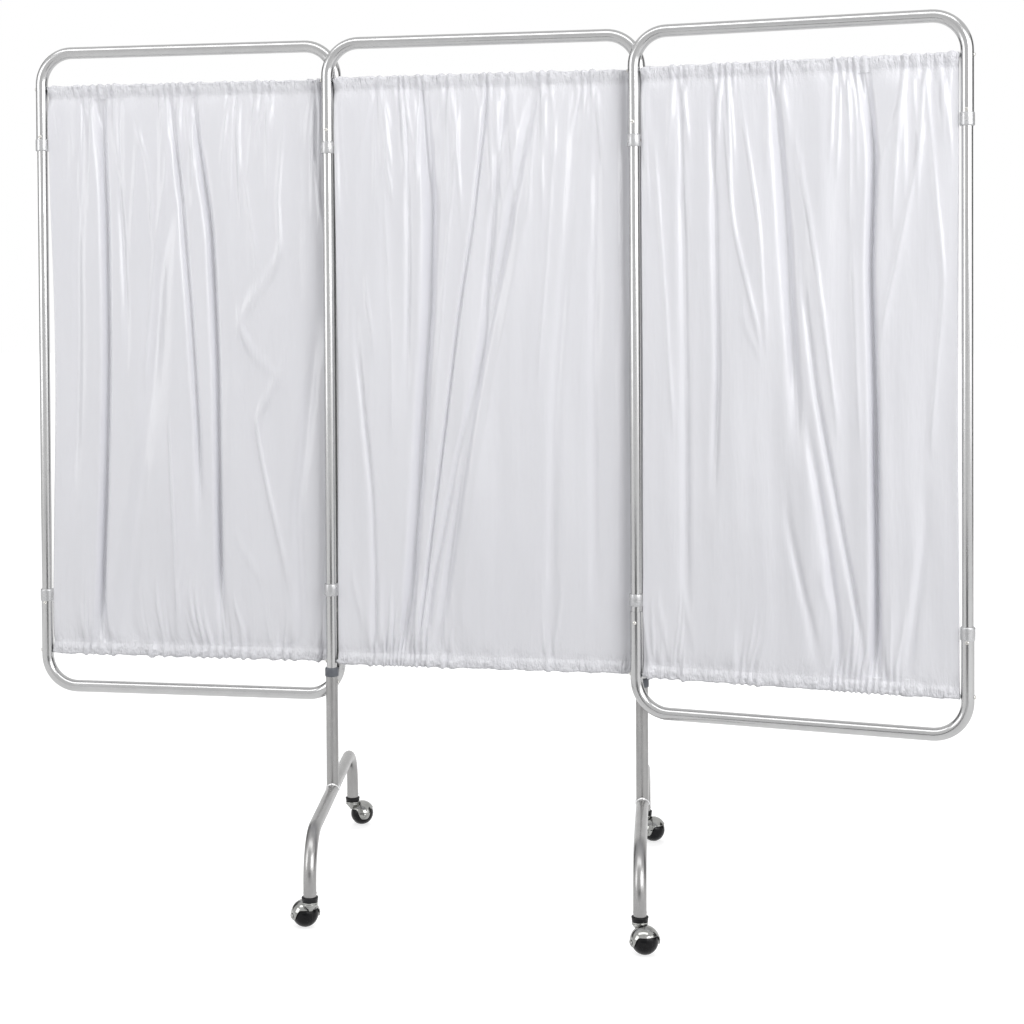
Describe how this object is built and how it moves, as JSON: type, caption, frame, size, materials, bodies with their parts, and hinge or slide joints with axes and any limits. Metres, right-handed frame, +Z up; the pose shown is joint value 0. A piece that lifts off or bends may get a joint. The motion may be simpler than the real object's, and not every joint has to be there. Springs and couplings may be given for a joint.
{
  "type": "ward privacy screen on wheels",
  "caption": "Folding ward privacy screen: gathered white curtains in bright tube frames, hinged side panels, bow feet on hooded ball casters.",
  "frame": {"origin": "on the floor, under the centre of the whole screen's box at rest", "axes": "+X along the middle panel to the right as seen from the front, +Y to the back, +Z up"},
  "size_m": [1.983, 0.7802, 1.7667],
  "materials": {
    "tube_aluminium": "bright anodised, lightly brushed along the tube",
    "leg_steel": "plated steel tube, brushed along its length",
    "rod_steel": "zinc plated, dull",
    "screw_steel": "nickel plated",
    "grey_plastic": "silver grey moulded, satin",
    "slate_plastic": "slate grey moulded, satin",
    "black_plastic": "black moulded, satin",
    "ball_tread": "black, matt",
    "chrome": "bright chrome plate",
    "curtain_vinyl": "white vinyl sheet, glossy, gathered on its rods"
  },
  "bodies": {
    "frame": {"top_rail_middle": "tube_aluminium", "left_upright_middle": "tube_aluminium", "right_upright_middle": "tube_aluminium", "top_rod_middle": "rod_steel", "bottom_rod_middle": "rod_steel", "curtain_middle": "curtain_vinyl", "left_leg": "leg_steel", "left_foot_bow": "leg_steel", "left_weld_bead": "leg_steel", "left_leg_collar": "slate_plastic", "left_leg_screw": "screw_steel", "right_leg": "leg_steel", "right_foot_bow": "leg_steel", "right_weld_bead": "leg_steel", "right_leg_collar": "slate_plastic", "right_leg_screw": "screw_steel", "front_left_caster_socket": "black_plastic", "front_left_caster_stem": "chrome", "rear_left_caster_socket": "black_plastic", "rear_left_caster_stem": "chrome", "front_right_caster_socket": "black_plastic", "front_right_caster_stem": "chrome", "rear_right_caster_socket": "black_plastic", "rear_right_caster_stem": "chrome"},
    "left_panel": {"top_rail_left": "tube_aluminium", "bottom_rail_left": "tube_aluminium", "outer_upright_left": "tube_aluminium", "hinge_upright_left": "tube_aluminium", "top_rod_left": "rod_steel", "bottom_rod_left": "rod_steel", "curtain_left": "curtain_vinyl", "upper_sleeve_left": "grey_plastic", "lower_sleeve_left": "grey_plastic", "left_upper_hinge": "grey_plastic", "left_lower_hinge": "grey_plastic"},
    "right_panel": {"top_rail_right": "tube_aluminium", "bottom_rail_right": "tube_aluminium", "outer_upright_right": "tube_aluminium", "hinge_upright_right": "tube_aluminium", "top_rod_right": "rod_steel", "bottom_rod_right": "rod_steel", "curtain_right": "curtain_vinyl", "upper_sleeve_right": "grey_plastic", "lower_sleeve_right": "grey_plastic", "right_upper_hinge": "grey_plastic", "right_lower_hinge": "grey_plastic"},
    "front_left_swivel": {"front_left_caster_hood": "chrome", "front_left_caster_axle": "chrome"},
    "front_left_wheel": {"front_left_caster_ball": "ball_tread"},
    "rear_left_swivel": {"rear_left_caster_hood": "chrome", "rear_left_caster_axle": "chrome"},
    "rear_left_wheel": {"rear_left_caster_ball": "ball_tread"},
    "front_right_swivel": {"front_right_caster_hood": "chrome", "front_right_caster_axle": "chrome"},
    "front_right_wheel": {"front_right_caster_ball": "ball_tread"},
    "rear_right_swivel": {"rear_right_caster_hood": "chrome", "rear_right_caster_axle": "chrome"},
    "rear_right_wheel": {"rear_right_caster_ball": "ball_tread"}
  },
  "joints": [
    {"name": "left_panel_hinge", "type": "hinge", "parent": "frame", "child": "left_panel", "pos_m": [-0.32643, 0.00389, 1.536], "axis": [0, 0, 1], "range_deg": [-18, 170]},
    {"name": "right_panel_hinge", "type": "hinge", "parent": "frame", "child": "right_panel", "pos_m": [0.33357, 0.00389, 1.536], "axis": [0, 0, 1], "range_deg": [-24, 180]},
    {"name": "front_left_swivel_joint", "type": "hinge", "parent": "frame", "child": "front_left_swivel", "pos_m": [-0.27137, -0.34378, 0.0553], "axis": [0, 0, 1], "continuous": true},
    {"name": "front_left_wheel_spin", "type": "hinge", "parent": "front_left_swivel", "child": "front_left_wheel", "pos_m": [-0.2858, -0.32717, 0.0254], "axis": [-0.7547, -0.6561, 0], "continuous": true},
    {"name": "rear_left_swivel_joint", "type": "hinge", "parent": "frame", "child": "rear_left_swivel", "pos_m": [-0.3815, 0.35156, 0.0553], "axis": [0, 0, 1], "continuous": true},
    {"name": "rear_left_wheel_spin", "type": "hinge", "parent": "rear_left_swivel", "child": "rear_left_wheel", "pos_m": [-0.36207, 0.36188, 0.0254], "axis": [-0.4695, 0.8829, 0], "continuous": true},
    {"name": "front_right_swivel_joint", "type": "hinge", "parent": "frame", "child": "front_right_swivel", "pos_m": [0.37036, -0.34618, 0.0553], "axis": [0, 0, 1], "continuous": true},
    {"name": "front_right_wheel_spin", "type": "hinge", "parent": "front_right_swivel", "child": "front_right_wheel", "pos_m": [0.38169, -0.36504, 0.0254], "axis": [0.8572, 0.515, 0], "continuous": true},
    {"name": "rear_right_swivel_joint", "type": "hinge", "parent": "frame", "child": "rear_right_swivel", "pos_m": [0.29677, 0.35396, 0.0553], "axis": [0, 0, 1], "continuous": true},
    {"name": "rear_right_wheel_spin", "type": "hinge", "parent": "rear_right_swivel", "child": "rear_right_wheel", "pos_m": [0.31655, 0.34432, 0.0254], "axis": [0.4384, 0.8988, 0], "continuous": true}
  ]
}
